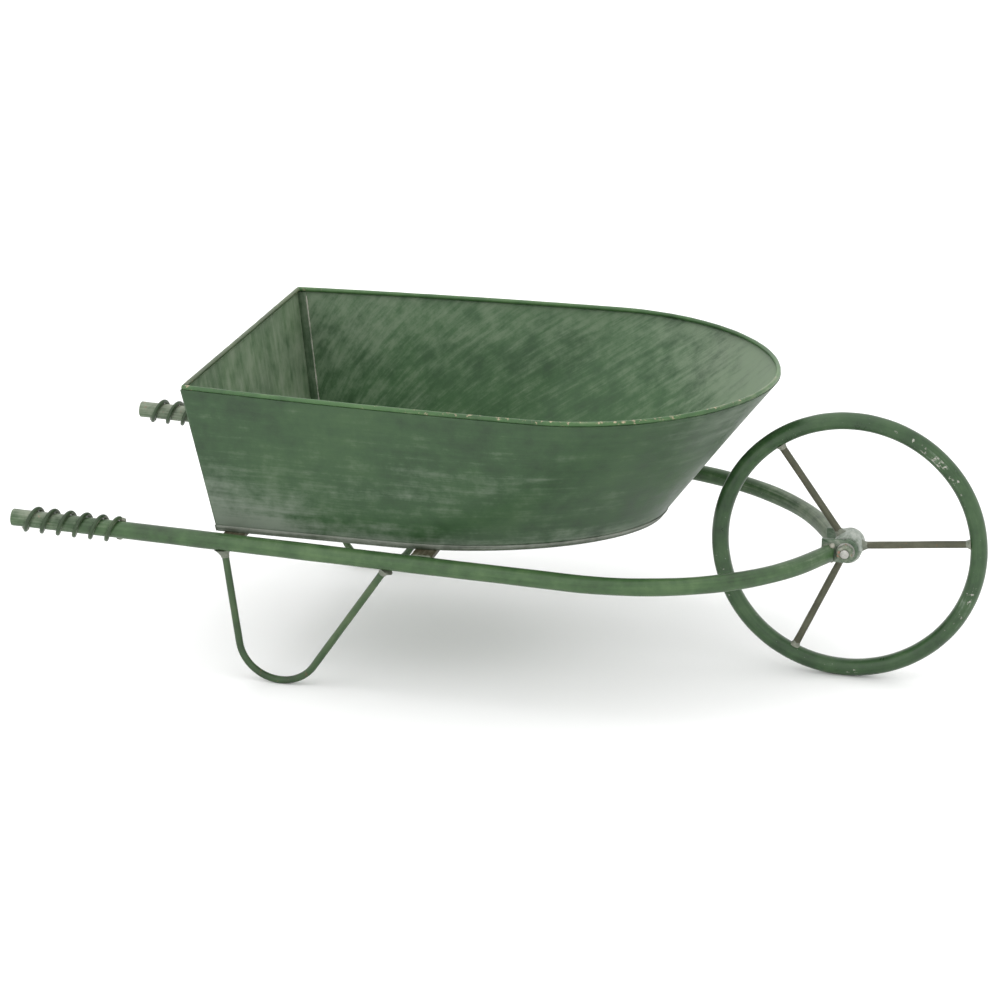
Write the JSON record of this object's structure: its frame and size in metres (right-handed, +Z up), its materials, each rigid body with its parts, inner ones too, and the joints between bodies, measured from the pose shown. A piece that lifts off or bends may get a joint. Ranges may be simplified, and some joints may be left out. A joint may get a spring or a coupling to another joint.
{
  "type": "wheelbarrow",
  "caption": "Small decorative all-metal garden wheelbarrow: flared round-nosed tray on a tube frame with bent-rod legs, wound handle grips and a spoked wheel.",
  "frame": {"origin": "on the ground, under the middle of the overall length and width", "axes": "+X forward along the length, from the handles to the wheel; +Y to the user's left; +Z up"},
  "size_m": [1.0487, 0.456, 0.3389],
  "materials": {
    "green_paint": "mid-green brushed paint, worn through in places",
    "washed_paint": "green paint under a thin grey-white wash",
    "rusty_steel": "thin olive paint over brown rusty steel",
    "worn_steel": "bare steel with traces of pale paint"
  },
  "bodies": {
    "frame": {"rail_right": "green_paint", "rail_left": "green_paint", "handle_cap_right": "washed_paint", "handle_cap_left": "washed_paint", "grip_coil_right": "green_paint", "grip_coil_left": "green_paint", "axle_lug_right": "green_paint", "axle_lug_left": "green_paint", "axle_bolt": "worn_steel", "axle_nut": "green_paint", "axle_washer_right": "worn_steel", "axle_washer_left": "worn_steel", "leg_right": "green_paint", "leg_left": "green_paint", "crossbar_rear": "rusty_steel", "crossbar_front": "rusty_steel", "tray_floor": "washed_paint", "tray_side_wall": "green_paint", "tray_rear_panel": "green_paint", "side_floor_seam": "washed_paint", "rear_floor_seam": "washed_paint", "corner_flange_right": "washed_paint", "corner_flange_left": "washed_paint", "side_rim_roll": "green_paint", "rear_rim_roll": "green_paint", "side_rim_wire": "worn_steel", "rear_rim_wire": "worn_steel"},
    "wheel": {"wheel_ring": "green_paint", "wheel_hub": "worn_steel", "spoke_1": "rusty_steel", "spoke_2": "rusty_steel", "spoke_3": "rusty_steel"}
  },
  "joints": [
    {"name": "wheel_spin", "type": "hinge", "parent": "frame", "child": "wheel", "pos_m": [0.37175, 0, 0.1525], "axis": [0, 1, 0], "continuous": true}
  ]
}
